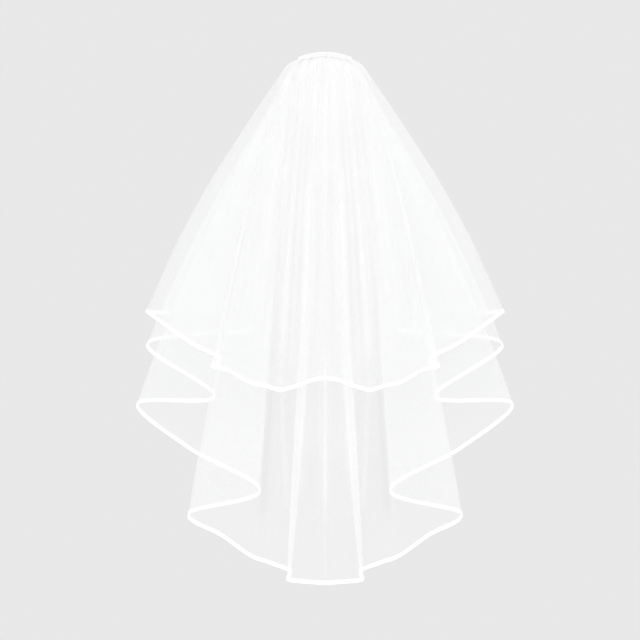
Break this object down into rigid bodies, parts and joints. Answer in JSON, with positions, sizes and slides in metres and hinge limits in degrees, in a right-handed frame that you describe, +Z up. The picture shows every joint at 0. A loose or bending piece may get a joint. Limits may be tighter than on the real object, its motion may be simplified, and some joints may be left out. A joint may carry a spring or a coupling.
{
  "type": "bridal veil",
  "caption": "Two-tier bridal veil of soft tulle with a satin ribbon edge, gathered to a hair comb and hanging in cascading side folds.",
  "frame": {"origin": "middle of the comb's spine, where the wearer's hair holds the veil", "axes": "+Z up, +Y the way the wearer looks, so the veil's back lies towards -Y, +X to the wearer's right as seen from behind"},
  "size_m": [0.584, 0.3141, 0.8078],
  "materials": {
    "tulle_upper": "sheer net",
    "tulle_lower": "sheer net",
    "satin_ribbon": "satin",
    "satin_binding": "satin",
    "comb_plastic": "clear gloss"
  },
  "bodies": {
    "root": {"tier_upper": "tulle_upper", "tier_lower": "tulle_lower", "ribbon_upper": "satin_ribbon", "ribbon_lower": "satin_ribbon", "binding": "satin_binding", "comb": "comb_plastic"}
  },
  "joints": []
}
